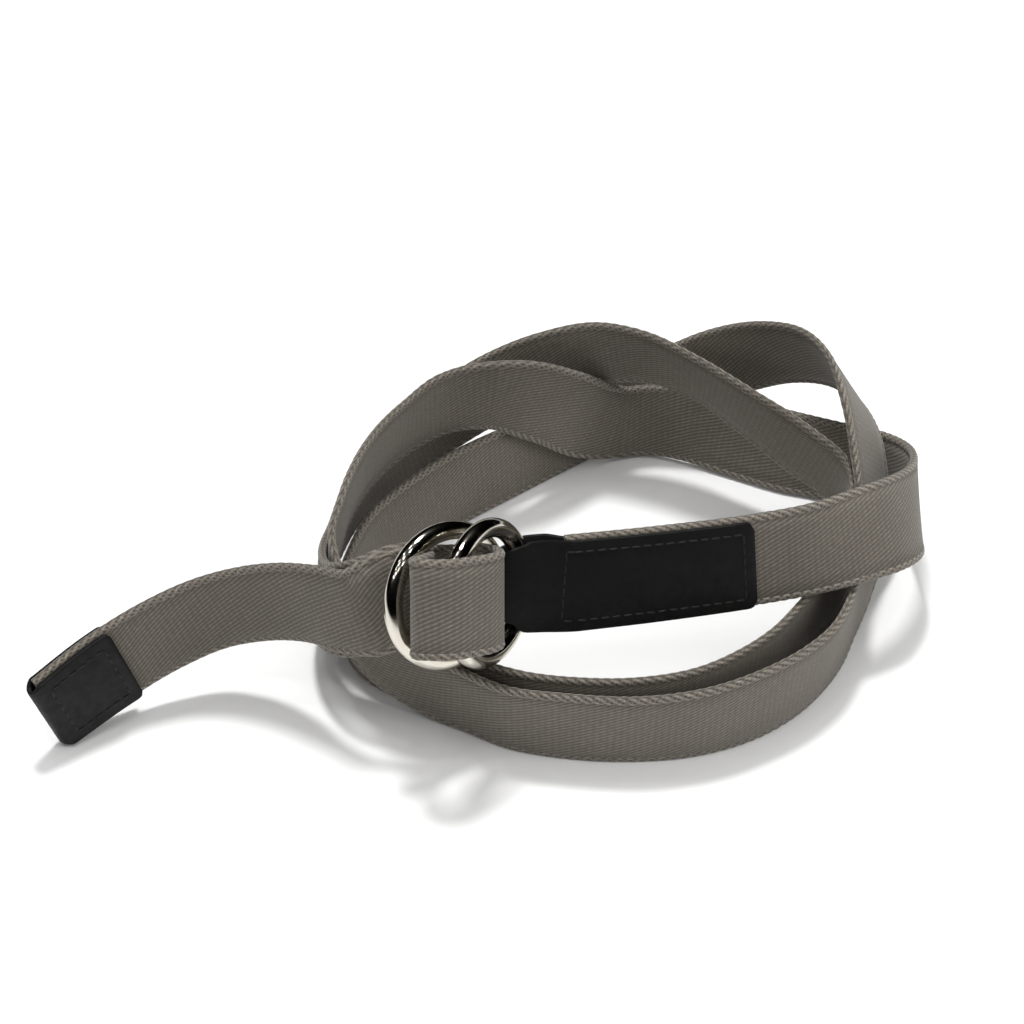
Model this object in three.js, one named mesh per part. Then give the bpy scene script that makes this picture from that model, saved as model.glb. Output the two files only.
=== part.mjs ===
// Webbing belt with a double-ring buckle, lying coiled on its edge.
// Millimetres, +Z up. x runs to the right and y away from a viewer in front.
import * as THREE from 'three';

const { Vector3 } = THREE;
const UP = new Vector3(0, 0, 1);
const RIGHT = new Vector3(1, 0, 0);

// Driving sizes
const WEBBING = { half: 12.5, thick: 2.0, roundOver: 0.6, step: 4.5 };
const LEATHER = { thick: 1.3, roundOver: 0.3, step: 3.5 };
const RING = { radius: 16.4, wire: 2.45, around: 48, section: 12 };
const TAB = { half: 11.8, length: 48.3, corner: 1.7 };
const TIP = { half: 11.95, length: 22, corner: 1.4 };
const GAP = 0.3;
// The leather is set low on the webbing, so that the webbing's top edge shows.
const COVER_DROP = 0.55;
const LAYER = WEBBING.thick / 2 + GAP + LEATHER.thick / 2;

// Buckle directions: the buckle leans back, so its top is farther from the viewer.
const BUCKLE_LEAN = THREE.MathUtils.degToRad(28);
const BUCKLE_UP = new Vector3(0, Math.sin(BUCKLE_LEAN), Math.cos(BUCKLE_LEAN));
const BUCKLE_OUT = new Vector3(0, -Math.cos(BUCKLE_LEAN), Math.sin(BUCKLE_LEAN));
// Where each ring's wire lies in the tab's loop, and the turn of the ring from the leftward direction.
const INNER_RING = { bar: new Vector3(2.7, -73, 38.8), turn: 57 };
const OUTER_RING = { bar: new Vector3(-3, -75.4, 39.1), turn: 38 };

// Strap route in travel order, chosen by hand. Columns: x, y, z of the middle of the width,
// and lean in degrees from upright, positive where the top leans to the right of the travel.
const STRAP_START = [
  [14, -73.5, 38.4, -27], [37, -69.5, 38.2, -23], [63, -64, 38, -20], [79, -59.5, 38, -22],
  [90, -54, 37.4, -29], [98.5, -48.5, 36, -32],
];
const RIGHT_END_DOWN = [
  [106, -39, 31.8, -24], [110, -25, 25.3, -8], [109.5, -10.5, 19, 3], [104, 0.8, 14.6, 8],
];
const BACK_FIRST = [
  [93, 7, 13, 12], [79, 12.5, 12.5, 18], [64, 19.5, 12.6, 16], [51, 24, 13.5, 8], [38, 26, 13.2, 2],
  [31, 24.2, 13.6, 1], [25, 21, 16.6, 0], [13, 11.5, 29, -4], [-3, 4, 39, -6], [-19, 0.5, 38.6, -10],
  [-30, -9, 37, -13], [-38, -21.5, 36.3, -12], [-43, -36, 36, -10], [-45.2, -48, 35, -7],
];
const FRONT_OUTER = [
  [-46.8, -57, 32.5, -4], [-45, -66.5, 28.5, -2], [-40, -73.5, 24.5, 0], [-32, -79.5, 18.5, 2],
  [-21.5, -84.5, 13.7, 4], [-12, -89.5, 12.6, 7], [-2, -95, 12.4, 8], [14, -98.5, 12.4, 6],
  [32, -99.5, 12.4, 6], [48, -97, 12.4, 4], [63, -90.5, 12.4, 2], [74, -82.5, 12.4, 3],
  [81.8, -73.8, 12.4, 4], [87, -64.8, 12.5, 2], [91, -54, 12.7, -1],
];
const HIGH_LOOP = [
  [95, -42, 14.5, -8], [98.3, -30, 21, -22], [98, -18, 29.5, -32], [96.3, -5, 37.4, -35],
  [93, 9, 40.2, -31], [87.2, 21, 39.2, -26], [76.5, 31, 34.2, -17], [65, 36.5, 27.6, -7], [54, 39, 21, 0],
  [42, 36.5, 15.5, 2],
];
const FLOOR_LEFT = [
  [29, 30, 12.8, 2], [14, 19, 12.4, 4], [0, 8, 12.4, 5], [-14, -3, 12.4, 7], [-27, -16, 12.4, 6],
  [-37, -29, 12.4, 4], [-41.8, -42, 12.4, 3], [-44, -54, 12.4, 1],
];
const FRONT_INNER = [
  [-42.3, -63, 12.4, 0], [-37.5, -69.7, 12.4, 0], [-29.5, -75.5, 12.4, 1], [-20, -79.5, 12.4, 2],
  [-8, -86.5, 12.4, 4], [4, -91, 12.4, 5], [17, -93, 12.4, 5], [31, -93, 12.4, 5],
  [46, -89.5, 12.4, 5], [57.5, -83, 12.4, 4], [66, -76, 12.5, 3], [74, -66, 12.5, 2],
  [82, -54.5, 12.8, 0],
];
const BACK_LAST = [
  [89, -42, 14, -3], [93.5, -28, 18, -6], [91, -15, 22.5, -9], [79, -6, 28.5, -14],
  [64, 3.5, 35, -20], [51, 12, 39.5, -24], [38, 18.5, 41.4, -20], [25, 21.8, 40.6, -12],
  [11, 20.5, 37.9, -7], [-4, 18.5, 31.5, -2], [-18.5, 13, 24.5, 0], [-31, 4, 20, 0],
  [-41.5, -9, 17.5, -4], [-47, -25, 16.5, -6],
];
const RISE_TO_BUCKLE = [
  [-49.2, -42, 18, -5], [-50.7, -54, 21, -7], [-49.3, -66, 26, -10], [-44.4, -76, 31.5, -14],
  [-36, -81, 37.5, -20],
];
// Through both rings, round the inner ring's left side and back through the outer ring.
// Columns: across to the right, out to the viewer and up, from the inner ring's wire in the loop.
const THROUGH_RINGS = [
  [-28.5, 8.2, -0.9], [-20, 10.3, -0.9], [-14, 11.8, -0.5], [-9.6, 13, 0], [-6.8, 15.2, -0.1],
  [-5.4, 19, -0.1], [-7.4, 23.4, 0], [-12, 27.8, 0.2], [-15.8, 30.6, 0.3], [-20.3, 31.5, 0.3],
  [-24.6, 30, 0.1], [-26.3, 26.6, -0.4], [-24.2, 21.1, -0.8], [-22.5, 17.2, -0.9],
  [-23.6, 14.1, -0.9], [-27, 13.3, -0.9], [-31, 14.4, -0.9],
];
const TAIL = [
  [-36.5, -88, 41.5, 14], [-45, -83.5, 38.4, 6], [-55, -76.5, 34.2, -1], [-66, -72, 29.6, -2],
  [-78, -71, 25.2, 0], [-90, -75, 21.5, 4], [-103.5, -83, 17.2, 6], [-116.4, -93, 12.6, 3],
];

// Leather loop round both rings, from the front layer to the back layer.
// Columns: across, out and up as above, and half of the width.
const TAB_LOOP = [
  [4, 5, -0.4, 11.8], [1, 6.4, -0.3, 11.6], [-1.5, 7.4, -0.1, 10.3], [-6, 8.3, -0.4, 8],
  [-10, 6.5, -0.4, 7], [-11.3, 3, -0.4, 7], [-10, -0.8, -0.4, 7], [-5, -2.8, -0.3, 8.5],
  [0, -3.9, -0.3, 11], [5, -3.6, -0.5, 11.8],
];

function coilPlace([x, y, z, lean]) {
  return { point: new Vector3(x, y, z), lean: THREE.MathUtils.degToRad(lean), half: WEBBING.half };
}

function bucklePlace([across, out, up, half = WEBBING.half]) {
  const point = INNER_RING.bar.clone().addScaledVector(RIGHT, across);
  point.addScaledVector(BUCKLE_OUT, out).addScaledVector(BUCKLE_UP, up);
  return { point, wide: BUCKLE_UP.clone(), half };
}

// Distances along straight lines from place to place.
function chordDistances(points) {
  const at = [0];
  for (let i = 1; i < points.length; i += 1) {
    at.push(at[i - 1] + points[i].distanceTo(points[i - 1]));
  }
  return at;
}

// Slope of a list of vectors at each place, from the stretches before and after it.
function slopes(values, at) {
  const rate = (i) => values[i + 1].clone().sub(values[i]).divideScalar(at[i + 1] - at[i]);
  const last = values.length - 1;
  return values.map((_, i) => {
    if (i === 0) return rate(0);
    if (i === last) return rate(last - 1);
    const before = at[i] - at[i - 1];
    const after = at[i + 1] - at[i];
    const sum = rate(i - 1).multiplyScalar(after).addScaledVector(rate(i), before);
    return sum.divideScalar(before + after);
  });
}

// Smooth curve from a to b with the given slopes, at fraction f of the span.
function blend(a, slopeA, b, slopeB, span, f) {
  const f2 = f * f;
  const f3 = f2 * f;
  const out = a.clone().multiplyScalar(2 * f3 - 3 * f2 + 1);
  out.addScaledVector(slopeA, span * (f3 - 2 * f2 + f));
  out.addScaledVector(b, 3 * f2 - 2 * f3);
  return out.addScaledVector(slopeB, span * (f3 - f2));
}

// Width direction of an upright strip that travels along the slope, turned by its lean.
function leaned(slope, lean) {
  const travel = slope.clone().normalize();
  const upright = UP.clone().addScaledVector(travel, -UP.dot(travel)).normalize();
  const side = travel.clone().cross(upright);
  return upright.multiplyScalar(Math.cos(lean)).addScaledVector(side, Math.sin(lean));
}

// Evenly stepped cross-sections along a list of places.
function sampleStrip(places, step) {
  const points = places.map((place) => place.point);
  const at = chordDistances(points);
  const pointSlopes = slopes(points, at);
  const wides = places.map((place, i) => place.wide ?? leaned(pointSlopes[i], place.lean));
  const wideSlopes = slopes(wides, at);
  const samples = [];
  for (let i = 0; i + 1 < places.length; i += 1) {
    const span = at[i + 1] - at[i];
    const steps = Math.max(1, Math.round(span / step));
    for (let j = 0; j < steps; j += 1) {
      const f = j / steps;
      const point = blend(points[i], pointSlopes[i], points[i + 1], pointSlopes[i + 1], span, f);
      const wide = blend(wides[i], wideSlopes[i], wides[i + 1], wideSlopes[i + 1], span, f);
      const half = THREE.MathUtils.lerp(places[i].half, places[i + 1].half, f);
      samples.push({ point, wide, half });
    }
  }
  samples.push({ point: points.at(-1), wide: wides.at(-1), half: places.at(-1).half });
  return squared(samples);
}

// Makes each width square to the travel and adds the face direction.
function squared(samples) {
  return samples.map((sample, i) => {
    const ahead = samples[Math.min(i + 1, samples.length - 1)].point;
    const behind = samples[Math.max(i - 1, 0)].point;
    const travel = ahead.clone().sub(behind).normalize();
    const wide = sample.wide.clone().addScaledVector(travel, -sample.wide.dot(travel)).normalize();
    return { ...sample, travel, wide, face: travel.clone().cross(wide) };
  });
}

// Corners of a flat strip's section with rounded edges.
function sectionCorners(half, thick, roundOver) {
  const flat = thick / 2;
  const inset = half - roundOver;
  const edge = flat - roundOver;
  return [
    [inset, flat], [half, edge], [half, -edge], [inset, -flat],
    [-inset, -flat], [-half, -edge], [-half, edge], [-inset, flat],
  ];
}

// Closed solid of a strip; what would dip under the floor is flattened on it.
function stripGeometry(samples, size) {
  const positions = [];
  samples.forEach(({ point, wide, face, half }) => {
    sectionCorners(half, size.thick, size.roundOver).forEach(([along, off]) => {
      const corner = point.clone().addScaledVector(wide, along).addScaledVector(face, off);
      positions.push(corner.x, corner.y, Math.max(corner.z, 0));
    });
  });
  const sides = 8;
  const index = [];
  for (let i = 0; i + 1 < samples.length; i += 1) {
    for (let j = 0; j < sides; j += 1) {
      const a = i * sides + j;
      const b = i * sides + ((j + 1) % sides);
      index.push(a, b + sides, b, a, a + sides, b + sides);
    }
  }
  const end = (samples.length - 1) * sides;
  for (let j = 1; j + 1 < sides; j += 1) {
    index.push(0, j, j + 1, end, end + j + 1, end + j);
  }
  const geometry = new THREE.BufferGeometry();
  geometry.setAttribute('position', new THREE.Float32BufferAttribute(positions, 3));
  geometry.setIndex(index);
  geometry.computeVertexNormals();
  return geometry;
}

function strapPlaces() {
  const coil = [
    STRAP_START, RIGHT_END_DOWN, BACK_FIRST, FRONT_OUTER, HIGH_LOOP, FLOOR_LEFT,
    FRONT_INNER, BACK_LAST, RISE_TO_BUCKLE,
  ].flat();
  return [...coil.map(coilPlace), ...THROUGH_RINGS.map(bucklePlace), ...TAIL.map(coilPlace)];
}

// Place on one face of the strap, a distance along it from its start or, if negative, its end.
function placeOnStrap(samples, distance, offset, half) {
  const at = chordDistances(samples.map((sample) => sample.point));
  const target = distance < 0 ? at.at(-1) + distance : distance;
  const next = Math.max(1, at.findIndex((value) => value >= target));
  const f = (target - at[next - 1]) / (at[next] - at[next - 1]);
  const before = samples[next - 1];
  const after = samples[next];
  const wide = before.wide.clone().lerp(after.wide, f).normalize();
  const face = before.face.clone().lerp(after.face, f).normalize();
  const point = before.point.clone().lerp(after.point, f).addScaledVector(face, offset);
  point.addScaledVector(wide, -COVER_DROP);
  return { point, wide, half };
}

// Distances and half widths of a layer that ends in rounded corners at its far end.
function layerRows(nearest, length, half, corner) {
  const rows = [[nearest, half]];
  for (const share of [0.08, 0.25, 0.5, 0.75]) {
    rows.push([nearest + (length - nearest) * share, half]);
  }
  rows.push([length - corner, half], [length - 0.3 * corner, half - 0.3 * corner]);
  rows.push([length, half - corner]);
  return rows;
}

function tabPlaces(strap) {
  const clearOfLoop = 2;
  const rows = layerRows(clearOfLoop, TAB.length, TAB.half, TAB.corner);
  const layer = (offset) => rows.map(([at, half]) => placeOnStrap(strap, at, offset, half));
  return [...layer(LAYER).reverse(), ...TAB_LOOP.map(bucklePlace), ...layer(-LAYER)];
}

function tipPlaces(strap) {
  const clearOfFold = 1.2;
  const rows = layerRows(clearOfFold, TIP.length, TIP.half, TIP.corner);
  const layer = (offset) => rows.map(([at, half]) => placeOnStrap(strap, -at, offset, half));
  const { point, wide, face, travel } = strap.at(-1);
  const fold = [0, 45, 90, 135, 180].map((degrees) => {
    const angle = THREE.MathUtils.degToRad(degrees);
    const place = point.clone().addScaledVector(face, LAYER * Math.cos(angle));
    place.addScaledVector(travel, LAYER * Math.sin(angle)).addScaledVector(wide, -COVER_DROP);
    return { point: place, wide: wide.clone(), half: TIP.half - TIP.corner * Math.sin(angle) };
  });
  return [...layer(LAYER).reverse(), ...fold, ...layer(-LAYER)];
}

function ringMesh(name, { bar, turn }, material) {
  const angle = THREE.MathUtils.degToRad(turn);
  const toCentre = RIGHT.clone().multiplyScalar(-Math.cos(angle));
  toCentre.addScaledVector(BUCKLE_OUT, Math.sin(angle));
  const geometry = new THREE.TorusGeometry(RING.radius, RING.wire, RING.section, RING.around);
  const mesh = new THREE.Mesh(geometry, material);
  mesh.name = name;
  const axis = toCentre.clone().cross(BUCKLE_UP);
  mesh.quaternion.setFromRotationMatrix(new THREE.Matrix4().makeBasis(toCentre, BUCKLE_UP, axis));
  mesh.position.copy(bar).addScaledVector(toCentre, RING.radius);
  return mesh;
}

function stripMesh(name, samples, size, material) {
  const mesh = new THREE.Mesh(stripGeometry(samples, size), material);
  mesh.name = name;
  return mesh;
}

function webbingMaterial() {
  return new THREE.MeshStandardMaterial({ name: 'webbing', color: 0x77736a, roughness: 0.9, metalness: 0 });
}

function leatherMaterial() {
  return new THREE.MeshStandardMaterial({ name: 'leather', color: 0x141516, roughness: 0.6, metalness: 0 });
}

function nickelMaterial() {
  return new THREE.MeshStandardMaterial({ name: 'nickel', color: 0xc9c6bd, roughness: 0.2, metalness: 1 });
}

function beltGroup() {
  const strap = sampleStrip(strapPlaces(), WEBBING.step);
  const tab = sampleStrip(tabPlaces(strap), LEATHER.step);
  const tip = sampleStrip(tipPlaces(strap), LEATHER.step);
  const belt = new THREE.Group();
  belt.add(stripMesh('webbing_strap', strap, WEBBING, webbingMaterial()));
  belt.add(stripMesh('leather_tab', tab, LEATHER, leatherMaterial()));
  belt.add(stripMesh('leather_tip', tip, LEATHER, leatherMaterial()));
  belt.add(ringMesh('ring_inner', INNER_RING, nickelMaterial()));
  belt.add(ringMesh('ring_outer', OUTER_RING, nickelMaterial()));
  return belt;
}

// The origin is the bottom centre of the whole belt.
const group = beltGroup();
group.updateMatrixWorld(true);
const bounds = new THREE.Box3().setFromObject(group, true);
const middle = bounds.getCenter(new Vector3());
group.position.set(-middle.x, -middle.y, -bounds.min.z);

export default group;
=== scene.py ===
import math
import random
from collections import namedtuple

import bpy
import numpy as np
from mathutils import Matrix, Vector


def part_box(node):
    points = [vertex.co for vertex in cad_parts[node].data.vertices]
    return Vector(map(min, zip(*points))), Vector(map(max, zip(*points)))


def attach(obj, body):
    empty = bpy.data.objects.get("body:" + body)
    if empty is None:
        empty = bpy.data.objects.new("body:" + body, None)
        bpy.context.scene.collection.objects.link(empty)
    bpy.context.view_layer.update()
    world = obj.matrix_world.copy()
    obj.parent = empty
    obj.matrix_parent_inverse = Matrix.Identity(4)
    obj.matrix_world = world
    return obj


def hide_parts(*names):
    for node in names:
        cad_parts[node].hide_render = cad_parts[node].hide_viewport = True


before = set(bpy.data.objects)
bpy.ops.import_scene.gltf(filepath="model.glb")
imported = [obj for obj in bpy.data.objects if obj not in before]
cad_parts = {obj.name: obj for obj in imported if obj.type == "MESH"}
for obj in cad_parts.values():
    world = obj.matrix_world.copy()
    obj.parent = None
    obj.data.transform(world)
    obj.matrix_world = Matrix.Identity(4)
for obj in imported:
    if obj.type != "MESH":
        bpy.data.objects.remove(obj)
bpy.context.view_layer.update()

# Lengths of the belt are in millimetres in the tables, and MM turns them into metres.
MM = 0.001
UP = np.array([0.0, 0.0, 1.0])
RIGHT = np.array([1.0, 0.0, 0.0])

WEBBING_HALF = 12.5
WEBBING_THICK = 2.0
LEATHER_THICK = 1.3
LEATHER_ROUND = 0.45
LAYER_GAP = 0.3
LAYER = WEBBING_THICK / 2 + LAYER_GAP + LEATHER_THICK / 2
TAB_LENGTH = 48.3
TIP_LENGTH = 22.0
TAB_HALF = 11.8
TIP_HALF = 11.95
TAB_CORNER = 2.0
TIP_CORNER = 1.6
COVER_DROP = 0.55
RING_RADIUS = 16.4
RING_WIRE = 2.45
INNER_RING_BAR = np.array([2.7, -73.0, 38.8])
INNER_RING_TURN = 57
OUTER_RING_BAR = np.array([-3.0, -75.4, 39.1])
OUTER_RING_TURN = 38
BUCKLE_LEAN = math.radians(28)
BUCKLE_UP = np.array([0.0, math.sin(BUCKLE_LEAN), math.cos(BUCKLE_LEAN)])
BUCKLE_OUT = np.array([0.0, -math.cos(BUCKLE_LEAN), math.sin(BUCKLE_LEAN)])

# The strap's route, as in the part's source. Columns: x, y, z of the middle of the width, and
# lean in degrees, positive where the top leans to the right of the travel.
STRAP_START = [
    (14, -73.5, 38.4, -27), (37, -69.5, 38.2, -23), (63, -64, 38, -20), (79, -59.5, 38, -22),
    (90, -54, 37.4, -29), (98.5, -48.5, 36, -32),
]
RIGHT_END_DOWN = [
    (106, -39, 31.8, -24), (110, -25, 25.3, -8), (109.5, -10.5, 19, 3), (104, 0.8, 14.6, 8),
]
BACK_FIRST = [
    (93, 7, 13, 12), (79, 12.5, 12.5, 18), (64, 19.5, 12.6, 16), (51, 24, 13.5, 8),
    (38, 26, 13.2, 2), (31, 24.2, 13.6, 1), (25, 21, 16.6, 0), (13, 11.5, 29, -4), (-3, 4, 39, -6),
    (-19, 0.5, 38.6, -10), (-30, -9, 37, -13), (-38, -21.5, 36.3, -12), (-43, -36, 36, -10),
    (-45.2, -48, 35, -7),
]
FRONT_OUTER = [
    (-46.8, -57, 32.5, -4), (-45, -66.5, 28.5, -2), (-40, -73.5, 24.5, 0),
    (-32, -79.5, 18.5, 2), (-21.5, -84.5, 13.7, 4), (-12, -89.5, 12.6, 7), (-2, -95, 12.4, 8),
    (14, -98.5, 12.4, 6), (32, -99.5, 12.4, 6), (48, -97, 12.4, 4), (63, -90.5, 12.4, 2),
    (74, -82.5, 12.4, 3), (81.8, -73.8, 12.4, 4), (87, -64.8, 12.5, 2), (91, -54, 12.7, -1),
]
HIGH_LOOP = [
    (95, -42, 14.5, -8), (98.3, -30, 21, -22), (98, -18, 29.5, -32), (96.3, -5, 37.4, -35),
    (93, 9, 40.2, -31), (87.2, 21, 39.2, -26), (76.5, 31, 34.2, -17), (65, 36.5, 27.6, -7),
    (54, 39, 21, 0), (42, 36.5, 15.5, 2),
]
FLOOR_LEFT = [
    (29, 30, 12.8, 2), (14, 19, 12.4, 4), (0, 8, 12.4, 5), (-14, -3, 12.4, 7),
    (-27, -16, 12.4, 6), (-37, -29, 12.4, 4), (-41.8, -42, 12.4, 3), (-44, -54, 12.4, 1),
]
FRONT_INNER = [
    (-42.3, -63, 12.4, 0), (-37.5, -69.7, 12.4, 0), (-29.5, -75.5, 12.4, 1),
    (-20, -79.5, 12.4, 2), (-8, -86.5, 12.4, 4), (4, -91, 12.4, 5), (17, -93, 12.4, 5),
    (31, -93, 12.4, 5), (46, -89.5, 12.4, 5), (57.5, -83, 12.4, 4), (66, -76, 12.5, 3),
    (74, -66, 12.5, 2), (82, -54.5, 12.8, 0),
]
BACK_LAST = [
    (89, -42, 14, -3), (93.5, -28, 18, -6), (91, -15, 22.5, -9), (79, -6, 28.5, -14),
    (64, 3.5, 35, -20), (51, 12, 39.5, -24), (38, 18.5, 41.4, -20), (25, 21.8, 40.6, -12),
    (11, 20.5, 37.9, -7), (-4, 18.5, 31.5, -2), (-18.5, 13, 24.5, 0), (-31, 4, 20, 0),
    (-41.5, -9, 17.5, -4), (-47, -25, 16.5, -6),
]
RISE_TO_BUCKLE = [
    (-49.2, -42, 18, -5), (-50.7, -54, 21, -7), (-49.3, -66, 26, -10), (-44.4, -76, 31.5, -14),
    (-36, -81, 37.5, -20),
]
# Columns: across to the right, out to the viewer and up, from the inner ring's wire.
THROUGH_RINGS = [
    (-28.5, 8.2, -0.9), (-20, 10.3, -0.9), (-14, 11.8, -0.5), (-9.6, 13, 0), (-6.8, 15.2, -0.1),
    (-5.4, 19, -0.1), (-7.4, 23.4, 0), (-12, 27.8, 0.2), (-15.8, 30.6, 0.3),
    (-20.3, 31.5, 0.3), (-24.6, 30, 0.1), (-26.3, 26.6, -0.4), (-24.2, 21.1, -0.8),
    (-22.5, 17.2, -0.9), (-23.6, 14.1, -0.9), (-27, 13.3, -0.9), (-31, 14.4, -0.9),
]
TAIL = [
    (-36.5, -88, 41.5, 14), (-45, -83.5, 38.4, 6), (-55, -76.5, 34.2, -1), (-66, -72, 29.6, -2),
    (-78, -71, 25.2, 0), (-90, -75, 21.5, 4), (-103.5, -83, 17.2, 6), (-116.4, -93, 12.6, 3),
]
# The leather loop round both rings. Columns: across, out and up as above, and half width.
TAB_LOOP = [
    (4, 5, -0.4, 11.8), (1, 6.4, -0.3, 11.6), (-1.5, 7.4, -0.1, 10.3), (-6, 8.3, -0.4, 8),
    (-10, 6.5, -0.4, 7), (-11.3, 3, -0.4, 7), (-10, -0.8, -0.4, 7), (-5, -2.8, -0.3, 8.5),
    (0, -3.9, -0.3, 11), (5, -3.6, -0.5, 11.8),
]

# A strip is a run of cross-sections: middle point, width, face and travel directions, half width
# and distance along it.
Strip = namedtuple("Strip", "point wide face travel half along")
Places = namedtuple("Places", "point wide half")

BODY_STEP = 1.4
EDGE_STEP = 0.35
TAB_STEP = 0.9
TIP_STEP = 0.7


def unit(vectors):
    return vectors / np.linalg.norm(vectors, axis=-1, keepdims=True)


def chord_distances(points):
    gaps = np.linalg.norm(np.diff(points, axis=0), axis=1)
    return np.concatenate([[0.0], np.cumsum(gaps)])


def slopes(values, at):
    """Slope at each place, from the stretches before and after it."""
    spans = np.diff(at)[:, None]
    rates = np.diff(values, axis=0) / spans
    before, after = spans[:-1], spans[1:]
    inner = (rates[:-1] * after + rates[1:] * before) / (before + after)
    return np.vstack([rates[:1], inner, rates[-1:]])


def blend(values, at, where):
    """Smooth curve through the values, read at the given distances."""
    rates = slopes(values, at)
    i = np.clip(np.searchsorted(at, where, side="right") - 1, 0, len(at) - 2)
    span = (at[i + 1] - at[i])[:, None]
    f = (where - at[i])[:, None] / span
    f2, f3 = f ** 2, f ** 3
    out = (2 * f3 - 3 * f2 + 1) * values[i] + (3 * f2 - 2 * f3) * values[i + 1]
    return out + span * ((f3 - 2 * f2 + f) * rates[i] + (f3 - f2) * rates[i + 1])


def sample_strip(places, step):
    """Evenly stepped cross-sections along a list of places."""
    at = chord_distances(places.point)
    where = np.linspace(0.0, at[-1], int(round(at[-1] / step)) + 1)
    point = blend(places.point, at, where)
    travel = unit(np.gradient(point, axis=0))
    wide = blend(places.wide, at, where)
    wide = unit(wide - travel * np.sum(wide * travel, axis=1, keepdims=True))
    half = np.interp(where, at, places.half)
    return Strip(point, wide, np.cross(travel, wide), travel, half, chord_distances(point))


def buckle_points(rows):
    rows = np.array(rows, float)
    return (INNER_RING_BAR + rows[:, :1] * RIGHT + rows[:, 1:2] * BUCKLE_OUT
            + rows[:, 2:3] * BUCKLE_UP)


def strap_places():
    coil = np.array(STRAP_START + RIGHT_END_DOWN + BACK_FIRST + FRONT_OUTER + HIGH_LOOP
                    + FLOOR_LEFT + FRONT_INNER + BACK_LAST + RISE_TO_BUCKLE, float)
    tail = np.array(TAIL, float)
    through = buckle_points(THROUGH_RINGS)
    points = np.vstack([coil[:, :3], through, tail[:, :3]])
    travel = unit(slopes(points, chord_distances(points)))
    lean = np.radians(np.concatenate([coil[:, 3], np.zeros(len(through)), tail[:, 3]]))[:, None]
    upright = unit(UP - travel * travel[:, 2:3])
    wide = upright * np.cos(lean) + np.cross(travel, upright) * np.sin(lean)
    first = len(coil)
    wide[first:first + len(through)] = BUCKLE_UP
    return Places(points, wide, np.full(len(points), WEBBING_HALF))


def read_strip(strip, distance):
    """Point, width, face and travel of a strip at a distance along it, or before its end."""
    where = distance if distance >= 0 else strip.along[-1] + distance
    read = [
        np.array([np.interp(where, strip.along, values[:, k]) for k in range(3)])
        for values in (strip.point, strip.wide, strip.face, strip.travel)
    ]
    return read[0], unit(read[1]), unit(read[2]), unit(read[3])


def layer_rows(nearest, length, half, corner):
    """Distances and half widths of a layer with rounded corners at its far end."""
    rows = [(at, half) for at in np.linspace(nearest, length - corner, 12)]
    for degrees in (25, 50, 70, 90):
        angle = math.radians(degrees)
        rows.append((length - corner + corner * math.sin(angle),
                     half - corner + corner * math.cos(angle)))
    return rows


def layer_places(strap, rows, offset, sign):
    places = []
    for at, half in rows:
        point, wide, face, _ = read_strip(strap, sign * at)
        places.append((point + face * offset - wide * COVER_DROP, wide, half))
    return places


def joined(places):
    point, wide, half = zip(*places)
    return Places(np.array(point), np.array(wide), np.array(half))


def tab_strip(strap):
    rows = layer_rows(nearest=2.0, length=TAB_LENGTH, half=TAB_HALF, corner=TAB_CORNER)
    loop = [
        (point, BUCKLE_UP, row[3]) for point, row in zip(buckle_points(TAB_LOOP), TAB_LOOP)
    ]
    front = layer_places(strap, rows, LAYER, 1)[::-1]
    back = layer_places(strap, rows, -LAYER, 1)
    return sample_strip(joined(front + loop + back), step=TAB_STEP)


def tip_strip(strap):
    rows = layer_rows(nearest=1.2, length=TIP_LENGTH, half=TIP_HALF, corner=TIP_CORNER)
    point, wide, face, travel = read_strip(strap, strap.along[-1])
    fold = []
    for degrees in range(0, 181, 20):
        angle = math.radians(degrees)
        place = point + LAYER * (face * math.cos(angle) + travel * math.sin(angle))
        place = place - wide * COVER_DROP
        fold.append((place, wide, TIP_HALF - TIP_CORNER * math.sin(angle)))
    front = layer_places(strap, rows, LAYER, -1)[::-1]
    back = layer_places(strap, rows, -LAYER, -1)
    return sample_strip(joined(front + fold + back), step=TIP_STEP)


def table_to_part(strap):
    """The shift that puts the strap's box centre over the CAD strap's box centre."""
    reach = strap.wide * WEBBING_HALF
    faces = strap.face * WEBBING_THICK / 2
    corners = np.vstack([strap.point + a * reach + b * faces for a in (-1, 1) for b in (-1, 1)])
    middle = (corners.min(axis=0) + corners.max(axis=0)) / 2
    low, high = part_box("webbing_strap")
    cad_middle = (np.array(low) + np.array(high)) / 2
    shift = cad_middle - middle * MM
    shift[2] = 0.0
    return shift


def add_attribute(mesh, name, values):
    attribute = mesh.attributes.new(name, "FLOAT", "POINT")
    attribute.data.foreach_set("value", np.asarray(values, np.float32).ravel())


def add_mesh(name, points, faces, material, **attributes):
    """An object from points in table millimetres. Nothing goes under the floor."""
    placed = np.asarray(points, float).reshape(-1, 3) * MM + SHIFT
    placed[:, 2] = np.maximum(placed[:, 2], 0.0)
    mesh = bpy.data.meshes.new(name)
    mesh.from_pydata(placed.tolist(), [], faces)
    for key, values in attributes.items():
        add_attribute(mesh, key, values)
    mesh.polygons.foreach_set("use_smooth", [True] * len(mesh.polygons))
    mesh.update()
    obj = bpy.data.objects.new(name, mesh)
    bpy.context.scene.collection.objects.link(obj)
    obj.data.materials.append(material)
    return obj


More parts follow.
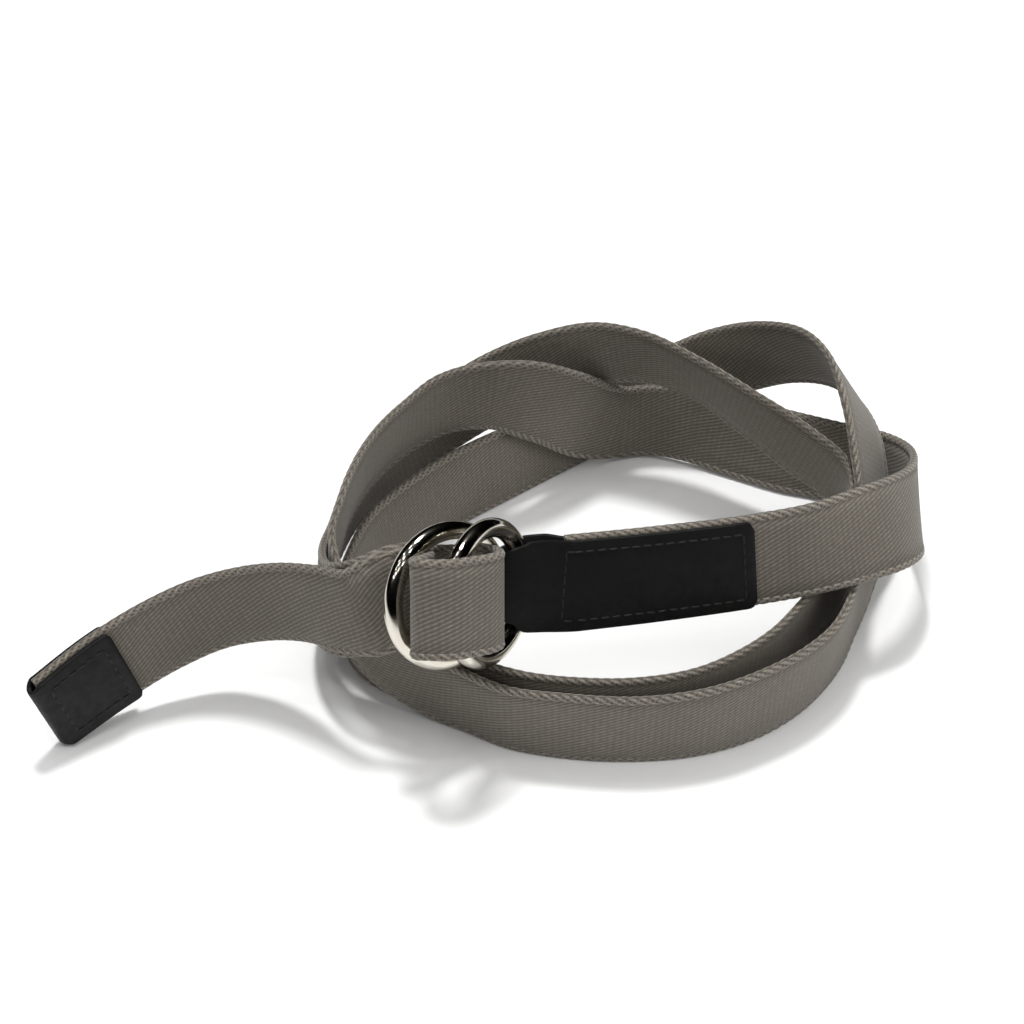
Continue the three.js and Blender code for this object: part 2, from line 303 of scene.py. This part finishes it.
def loft_faces(rings, sides, closed=False):
    """Quads between neighbouring rings of points, with a cap on each end unless closed."""
    i = np.arange(rings if closed else rings - 1)[:, None]
    j = np.arange(sides)[None, :]
    ahead = (i + 1) % rings
    turn = (j + 1) % sides
    quads = np.stack([i * sides + j, i * sides + turn, ahead * sides + turn, ahead * sides + j],
                     axis=-1).reshape(-1, 4).tolist()
    if not closed:
        quads.append(list(range(sides - 1, -1, -1)))
        quads.append(list(range((rings - 1) * sides, rings * sides)))
    return quads


def strip_points(strip, across, off):
    """Points at offsets across and off the face; both are (sections, sides) arrays."""
    return (strip.point[:, None, :] + strip.wide[:, None, :] * across[..., None]
            + strip.face[:, None, :] * off[..., None])


# Materials

def colour(red, green, blue):
    """A colour from its 0 to 255 screen values."""
    def linear(value):
        share = value / 255
        return share / 12.92 if share <= 0.04045 else ((share + 0.055) / 1.055) ** 2.4
    return (linear(red), linear(green), linear(blue), 1.0)


class Nodes:
    """Short calls for building one material's nodes."""

    def __init__(self, name):
        self.material = bpy.data.materials.new(name)
        self.material.use_nodes = True
        self.tree = self.material.node_tree
        self.shader = self.tree.nodes["Principled BSDF"]

    def put(self, socket, value):
        if isinstance(value, bpy.types.NodeSocket):
            self.tree.links.new(value, socket)
        else:
            socket.default_value = value

    def math(self, operation, *values):
        made = self.tree.nodes.new("ShaderNodeMath")
        made.operation = operation
        for socket, value in zip(made.inputs, values):
            self.put(socket, value)
        return made.outputs[0]

    def attribute(self, name):
        made = self.tree.nodes.new("ShaderNodeAttribute")
        made.attribute_name = name
        return made.outputs["Fac"]

    def place(self):
        return self.tree.nodes.new("ShaderNodeTexCoord").outputs["Object"]

    def noise(self, scale, detail=2.0, vector=None):
        made = self.tree.nodes.new("ShaderNodeTexNoise")
        made.inputs["Scale"].default_value = scale
        made.inputs["Detail"].default_value = detail
        self.put(made.inputs["Vector"], vector or self.place())
        return made.outputs["Fac"]

    def cells(self, scale):
        made = self.tree.nodes.new("ShaderNodeTexVoronoi")
        made.feature = "SMOOTH_F1"
        made.inputs["Scale"].default_value = scale
        self.put(made.inputs["Vector"], self.place())
        return made.outputs["Distance"]

    def vector(self, x, y, z=0.0):
        made = self.tree.nodes.new("ShaderNodeCombineXYZ")
        for socket, value in zip(made.inputs, (x, y, z)):
            self.put(socket, value)
        return made.outputs[0]

    def span(self, value, low, high, to_low=0.0, to_high=1.0):
        made = self.tree.nodes.new("ShaderNodeMapRange")
        for socket, number in zip(made.inputs, (value, low, high, to_low, to_high)):
            self.put(socket, number)
        return made.outputs[0]

    def mix(self, share, first, second, kind="MIX"):
        made = self.tree.nodes.new("ShaderNodeMix")
        made.data_type = "RGBA"
        made.blend_type = kind
        self.put(made.inputs["Factor"], share)
        self.put(made.inputs[6], first)
        self.put(made.inputs[7], second)
        return made.outputs[2]

    def bump(self, height, distance, strength=1.0, below=None):
        made = self.tree.nodes.new("ShaderNodeBump")
        made.inputs["Distance"].default_value = distance
        made.inputs["Strength"].default_value = strength
        self.put(made.inputs["Height"], height)
        if below is not None:
            self.put(made.inputs["Normal"], below)
        return made.outputs[0]

    def set(self, **values):
        for name, value in values.items():
            self.put(self.shader.inputs[name.replace("_", " ")], value)
        return self.material


# Thread tones: the dark one is painted shade for the rib grooves, the light one a painted
# highlight for the raised threads, the middle one the thread colour.
PAINTED_GROOVE_SHADE = colour(97, 92, 84)
THREAD_MIDDLE = colour(113, 107, 98)
PAINTED_RIDGE_HIGHLIGHT = colour(146, 139, 129)


def webbing_material():
    """Twill webbing: slanting ribs, broken into threads, with uneven yarn; painted shade darkens
    the rib grooves and a painted highlight lightens the raised threads.
    """
    slant = math.radians(24)
    rib_pitch = 1.02 * MM
    thread_pitch = 0.62 * MM
    weft_pitch = 1.72 * MM
    wander_scale = 260.0
    yarn_along = 420.0
    yarn_across = 2600.0
    patch_scale = 38.0
    fuzz_scale = 5200.0
    n = Nodes("webbing")
    along, across = n.attribute("along"), n.attribute("across")
    crossed = n.math("MULTIPLY", across, n.attribute("side"))
    wander = n.math("MULTIPLY", n.noise(wander_scale, 1.0), 0.35)
    rib_line = n.math("SUBTRACT", n.math("MULTIPLY", along, math.sin(slant) / rib_pitch),
                      n.math("MULTIPLY", crossed, math.cos(slant) / rib_pitch))
    rib_phase = n.math("ADD", rib_line, wander)
    rib = n.span(n.math("SINE", n.math("MULTIPLY", rib_phase, math.tau)), -1.0, 1.0)
    thread_line = n.math("ADD", n.math("MULTIPLY", along, math.cos(slant) / thread_pitch),
                         n.math("MULTIPLY", crossed, math.sin(slant) / thread_pitch))
    stagger = n.math("MULTIPLY", n.math("FLOOR", rib_phase), 0.5)
    thread_phase = n.math("MULTIPLY", n.math("ADD", thread_line, stagger), math.tau)
    thread = n.span(n.math("SINE", thread_phase), -1.0, 1.0)
    yarn = n.noise(1.0, 3.0, n.vector(n.math("MULTIPLY", along, yarn_along),
                                      n.math("MULTIPLY", across, yarn_across)))
    relief = n.math("MULTIPLY", rib, n.span(thread, 0.0, 1.0, 0.72, 1.0))
    # Painted shade where the rib relief sinks into grooves, and a painted highlight on the raised
    # threads, both following the relief.
    shade = n.mix(n.span(relief, 0.12, 0.75), PAINTED_GROOVE_SHADE, THREAD_MIDDLE)
    lit = n.mix(n.span(n.math("MULTIPLY", relief, yarn), 0.3, 0.62), shade, PAINTED_RIDGE_HIGHLIGHT)
    patches = n.span(n.noise(patch_scale, 3.0), 0.3, 0.7, 0.9, 1.06)
    weft_line = n.math("ADD", n.math("MULTIPLY", along, math.tau / weft_pitch),
                       n.math("MULTIPLY", wander, 3.0))
    weft = n.span(n.math("SINE", weft_line), -1.0, 1.0, 0.93, 1.05)
    share = n.math("MULTIPLY", patches, weft)
    toned = n.mix(1.0, lit, n.vector(share, share, share), "MULTIPLY")
    bumped = n.bump(relief, 0.08 * MM, 0.6)
    fuzz = n.bump(n.noise(fuzz_scale, 2.0), 0.03 * MM, 0.6, bumped)
    return n.set(Base_Color=toned, Roughness=0.88, Normal=fuzz, Sheen_Weight=0.18,
                 Sheen_Roughness=0.5, Specular_IOR_Level=0.25)


def edge_material():
    """Plaited edge: strands with painted highlights on their tops and painted shade in the grooves
    between them.
    """
    n = Nodes("webbing_edge")
    relief = n.attribute("relief")
    strand = n.noise(2400.0, 2.0)
    # Painted shade in the grooves and painted highlights on the strand tops, following the plait's
    # relief.
    shade = n.mix(n.span(relief, 0.1, 0.7), colour(50, 47, 42), colour(112, 106, 97))
    lit = n.mix(n.span(n.math("MULTIPLY", relief, strand), 0.35, 0.6), shade,
                colour(156, 149, 139))
    fuzz = n.bump(strand, 0.06 * MM, 0.7)
    return n.set(Base_Color=lit, Roughness=0.85, Normal=fuzz, Sheen_Weight=0.2,
                 Sheen_Roughness=0.5, Specular_IOR_Level=0.25)


def leather_material():
    """Black leather with a fine pebbled grain and slightly worn high spots."""
    n = Nodes("leather")
    pores = n.cells(1500.0)
    creases = n.noise(420.0, 4.0)
    worn = n.span(n.noise(90.0, 3.0), 0.45, 0.75)
    tone = n.mix(worn, colour(9, 9, 10), colour(18, 18, 19))
    grain = n.mix(n.span(pores, 0.15, 0.6), tone, colour(12, 12, 13))
    rough = n.span(creases, 0.3, 0.7, 0.5, 0.66)
    coarse = n.bump(creases, 0.12 * MM, 0.5)
    fine = n.bump(pores, 0.08 * MM, 0.7, coarse)
    return n.set(Base_Color=grain, Roughness=rough, Normal=fine, Specular_IOR_Level=0.3)


def thread_material():
    n = Nodes("stitching")
    strands = n.noise(3600.0, 2.0)
    tone = n.mix(strands, colour(12, 12, 12), colour(34, 33, 31))
    return n.set(Base_Color=tone, Roughness=0.62, Normal=n.bump(strands, 0.05 * MM, 0.8))


def nickel_material():
    """Polished nickel with faint handling marks."""
    n = Nodes("nickel")
    smears = n.noise(140.0, 4.0)
    marks = n.noise(1900.0, 2.0)
    tone = n.mix(smears, colour(206, 200, 188), colour(226, 221, 210))
    rough = n.span(smears, 0.3, 0.7, 0.09, 0.19)
    return n.set(Base_Color=tone, Metallic=1.0, Roughness=rough,
                 Normal=n.bump(marks, 0.01 * MM, 0.25))


def floor_material():
    n = Nodes("floor")
    tone = n.mix(n.noise(3.0, 2.0), colour(243, 243, 243), colour(246, 246, 245))
    return n.set(Base_Color=tone, Roughness=0.7, Specular_IOR_Level=0.2)


# Pieces

def webbing_body(strap):
    """The woven middle of the strap, a little thinner than its plaited edges."""
    reach = 11.2
    flat = 0.86
    rim = 0.5
    soft = 0.25
    profile = [(-reach, rim), (-reach + soft, flat)]
    profile += [(v, flat) for v in (-7.5, -3.75, 0.0, 3.75, 7.5)]
    profile += [(reach - soft, flat), (reach, rim)]
    section = np.array(profile + [(v, -off) for v, off in reversed(profile)])
    sections, sides = len(strap.point), len(section)
    across = np.tile(section[:, 0], (sections, 1))
    off = np.tile(section[:, 1], (sections, 1))
    points = strip_points(strap, across, off)
    along = np.tile(strap.along[:, None], (1, sides))
    return add_mesh("webbing_body", points, loft_faces(sections, sides), WEBBING,
                    along=along * MM, across=across * MM, side=np.sign(off))


EDGE_HALF_WIDTH = 1.25
EDGE_HALF_THICK = 1.0
EDGE_RELIEF = 0.2
EDGE_PITCH = 2.7


def webbing_edge(name, strap, sign):
    """A plaited edge: two columns of slanting strands that meet in a V along the rim."""
    turns = np.radians([-150, -112, -80, -50, -24, 0, 24, 50, 80, 112, 150])
    slant = 1.15
    fullness = 2.4
    groove_depth = 0.5
    groove_width = 0.3
    mean_relief = 0.6
    phase = strap.along[:, None] / EDGE_PITCH - slant * np.abs(turns)[None, :] / math.pi * 2
    wave = np.abs(2 * (phase % 1.0) - 1)
    strand = 1 - wave ** fullness
    middle = 1 - groove_depth * np.exp(-(turns / groove_width) ** 2)[None, :]
    relief = strand * middle
    swell = EDGE_RELIEF * (relief - mean_relief)
    across = (WEBBING_HALF - EDGE_HALF_WIDTH) + (EDGE_HALF_WIDTH + swell) * np.cos(turns)
    off = (EDGE_HALF_THICK + swell) * np.sin(turns)
    points = strip_points(strap, sign * across, sign * off)
    return add_mesh(name, points, loft_faces(*relief.shape), EDGE, relief=relief)


def leather_strap(name, strip):
    """Leather with rounded edges along a strip."""
    flat = LEATHER_THICK / 2 - LEATHER_ROUND
    corner = [(math.cos(math.radians(a)), math.sin(math.radians(a))) for a in (0, 30, 60, 90)]
    quarter = [(LEATHER_ROUND * c - LEATHER_ROUND, flat + LEATHER_ROUND * s) for c, s in corner]
    right = [(1, inset, off) for inset, off in quarter]
    left = [(-1, -inset, off) for inset, off in reversed(quarter)]
    upper = right + left
    lower = [(side, inset, -off) for side, inset, off in reversed(upper)]
    section = np.array(upper + lower)
    across = strip.half[:, None] * section[:, 0] + section[:, 1]
    off = np.tile(section[:, 2], (len(strip.point), 1))
    return add_mesh(name, strip_points(strip, across, off),
                    loft_faces(*across.shape), LEATHER)


def stitch_places(low, high, half, spacing):
    """Distance, width place and direction of each stitch round a rectangle."""
    places = []
    count = round((high - low) / spacing)
    for k in range(count):
        at = low + (k + 0.5) * (high - low) / count
        places += [(at, half, 0), (at, -half, 0)]
    count = round(2 * half / spacing)
    for k in range(count):
        v = -half + (k + 0.5) * 2 * half / count
        places += [(low, v, 90), (high, v, 90)]
    return places


def stitching(name, strip, outer, low, high, half, spacing=3.0):
    """Short raised threads on both layers of a leather strip, measured from its two ends."""
    draw = random.Random(11)
    around = 8
    rings = 7
    length = 1.15
    width = 0.27
    height = 0.24
    proud = 0.03
    sink = 0.16
    end_shape = 0.6
    wobble = 5
    surface = outer * (LEATHER_THICK / 2 + proud)
    turns = np.arange(around) * math.tau / around
    points, faces = [], []
    for end in (1, -1):
        for at, v, degrees in stitch_places(low, high, half, spacing):
            point, wide, face, travel = read_strip(strip, end * at)
            angle = math.radians(degrees + draw.uniform(-wobble, wobble))
            ahead = travel * math.cos(angle) + wide * math.sin(angle)
            side = wide * math.cos(angle) - travel * math.sin(angle)
            middle = point + wide * v + face * surface
            first = len(points)
            for k in range(rings):
                swing = -math.pi / 2 + (k + 0.5) * math.pi / rings
                size = math.cos(swing) ** end_shape
                centre = middle + ahead * length * math.sin(swing)
                centre = centre - face * outer * sink * (1 - size)
                for turn in turns:
                    ring = side * width * math.cos(turn) + face * height * math.sin(turn)
                    points.append(centre + ring * size)
            for quad in loft_faces(rings, around):
                faces.append([first + corner for corner in quad])
    return add_mesh(name, points, faces, THREAD)


def ring(name, bar, turn):
    """A round wire ring, held by its wire in the leather loop."""
    around = 160
    section = 32
    angle = math.radians(turn)
    outward = -math.cos(angle) * RIGHT + math.sin(angle) * BUCKLE_OUT
    axis = np.cross(outward, BUCKLE_UP)
    centre = bar + RING_RADIUS * outward
    a = (np.arange(around) * math.tau / around)[:, None, None]
    b = (np.arange(section) * math.tau / section)[None, :, None]
    radial = np.cos(a) * outward + np.sin(a) * BUCKLE_UP
    points = centre + (RING_RADIUS + RING_WIRE * np.cos(b)) * radial
    points = points + RING_WIRE * np.sin(b) * axis
    return add_mesh(name, points, loft_faces(around, section, closed=True), NICKEL)


def keep(piece, slot, *nodes):
    """Rides on the belt's one body and stands for its CAD nodes, which it hides; the slot is not
    used.
    """
    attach(piece, "root")
    if nodes:
        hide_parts(*nodes)
    return piece


# Camera, floor and light

CAMERA_ELEVATION = math.radians(40)
CAMERA_DISTANCE = 0.648
CAMERA_LENS = 79.10


def add_camera():
    data = bpy.data.cameras.new("camera")
    data.sensor_width = 36.0
    data.lens = CAMERA_LENS
    data.clip_start = 0.01
    data.clip_end = 50.0
    camera = bpy.data.objects.new("camera", data)
    camera.location = SHIFT + CAMERA_DISTANCE * np.array(
        [0.0, -math.cos(CAMERA_ELEVATION), math.sin(CAMERA_ELEVATION)])
    camera.rotation_euler = (math.radians(90) - CAMERA_ELEVATION, 0.0, 0.0)
    bpy.context.scene.collection.objects.link(camera)
    bpy.context.scene.camera = camera


def add_floor():
    half = 4.0
    mesh = bpy.data.meshes.new("floor")
    corners = [(-half, -half, 0), (half, -half, 0), (half, half, 0), (-half, half, 0)]
    mesh.from_pydata(corners, [], [(0, 1, 2, 3)])
    floor = bpy.data.objects.new("floor", mesh)
    bpy.context.scene.collection.objects.link(floor)
    floor.data.materials.append(floor_material())


def aim(obj, place, target):
    gaze = unit(np.array(target, float) - np.array(place, float))
    obj.location = place
    obj.rotation_euler = (
        math.acos(-gaze[2]), 0.0, math.atan2(gaze[0], -gaze[1]) + math.pi)


def add_light(name, place, size, power, shape="SQUARE", mirrored=True):
    """An area light aimed at the belt. One that isn't mirrored doesn't show in polished metal."""
    data = bpy.data.lights.new(name, "AREA")
    data.shape = shape
    data.size = size
    data.energy = power
    light = bpy.data.objects.new(name, data)
    aim(light, place, (0.0, 0.0, 0.02))
    light.visible_glossy = mirrored
    bpy.context.scene.collection.objects.link(light)


def add_world():
    world = bpy.data.worlds.new("studio")
    bpy.context.scene.world = world
    world.use_nodes = True
    background = world.node_tree.nodes["Background"]
    background.inputs["Color"].default_value = (1.0, 1.0, 1.0, 1.0)
    background.inputs["Strength"].default_value = 0.2
    world.cycles_visibility.glossy = False
    bpy.context.scene.view_settings.view_transform = "Standard"


LAMP_ROWS = 3
LAMP_COLUMNS = 4
LAMP_SIZE = 0.06
LAMP_POWER = 0.4


def add_lights():
    """A key, two soft fills and a grid of lamps that the rings mirror as dots."""
    add_light("key_behind", (-0.1, 0.38, 1.45), 0.22, 14.0, "DISK")
    add_light("overhead", (0.0, 0.25, 1.5), 1.6, 7.0, mirrored=False)
    add_light("right_side", (1.1, -0.5, 0.95), 0.9, 8.0, mirrored=False)
    for row in range(LAMP_ROWS):
        for column in range(LAMP_COLUMNS):
            place = (-1.15 + 0.4 * column, -0.75 + 0.45 * row, 1.25)
            add_light(f"lamp_{row}_{column}", place, LAMP_SIZE, LAMP_POWER, "DISK")
    add_world()


places = strap_places()
strap = sample_strip(places, step=BODY_STEP)
fine_strap = sample_strip(places, step=EDGE_STEP)
SHIFT = table_to_part(fine_strap)

add_camera()
add_floor()
add_lights()

WEBBING = webbing_material()
EDGE = edge_material()
LEATHER = leather_material()
THREAD = thread_material()
NICKEL = nickel_material()

body = keep(webbing_body(strap), "webbing", "webbing_strap")
edges = [
    keep(webbing_edge("webbing_edge_top", fine_strap, 1), "webbing"),
    keep(webbing_edge("webbing_edge_bottom", fine_strap, -1), "webbing"),
]
tab, tip = tab_strip(fine_strap), tip_strip(fine_strap)
keep(leather_strap("tab_leather", tab), "leather", "leather_tab")
keep(leather_strap("tip_leather", tip), "leather", "leather_tip")
keep(stitching("tab_stitching", tab, outer=-1, low=3.0, high=50.0, half=8.9), "leather")
keep(stitching("tip_stitching", tip, outer=1, low=3.0, high=19.5, half=8.6), "leather")
keep(ring("nickel_ring_inner", INNER_RING_BAR, INNER_RING_TURN), "nickel", "ring_inner")
keep(ring("nickel_ring_outer", OUTER_RING_BAR, OUTER_RING_TURN), "nickel", "ring_outer")
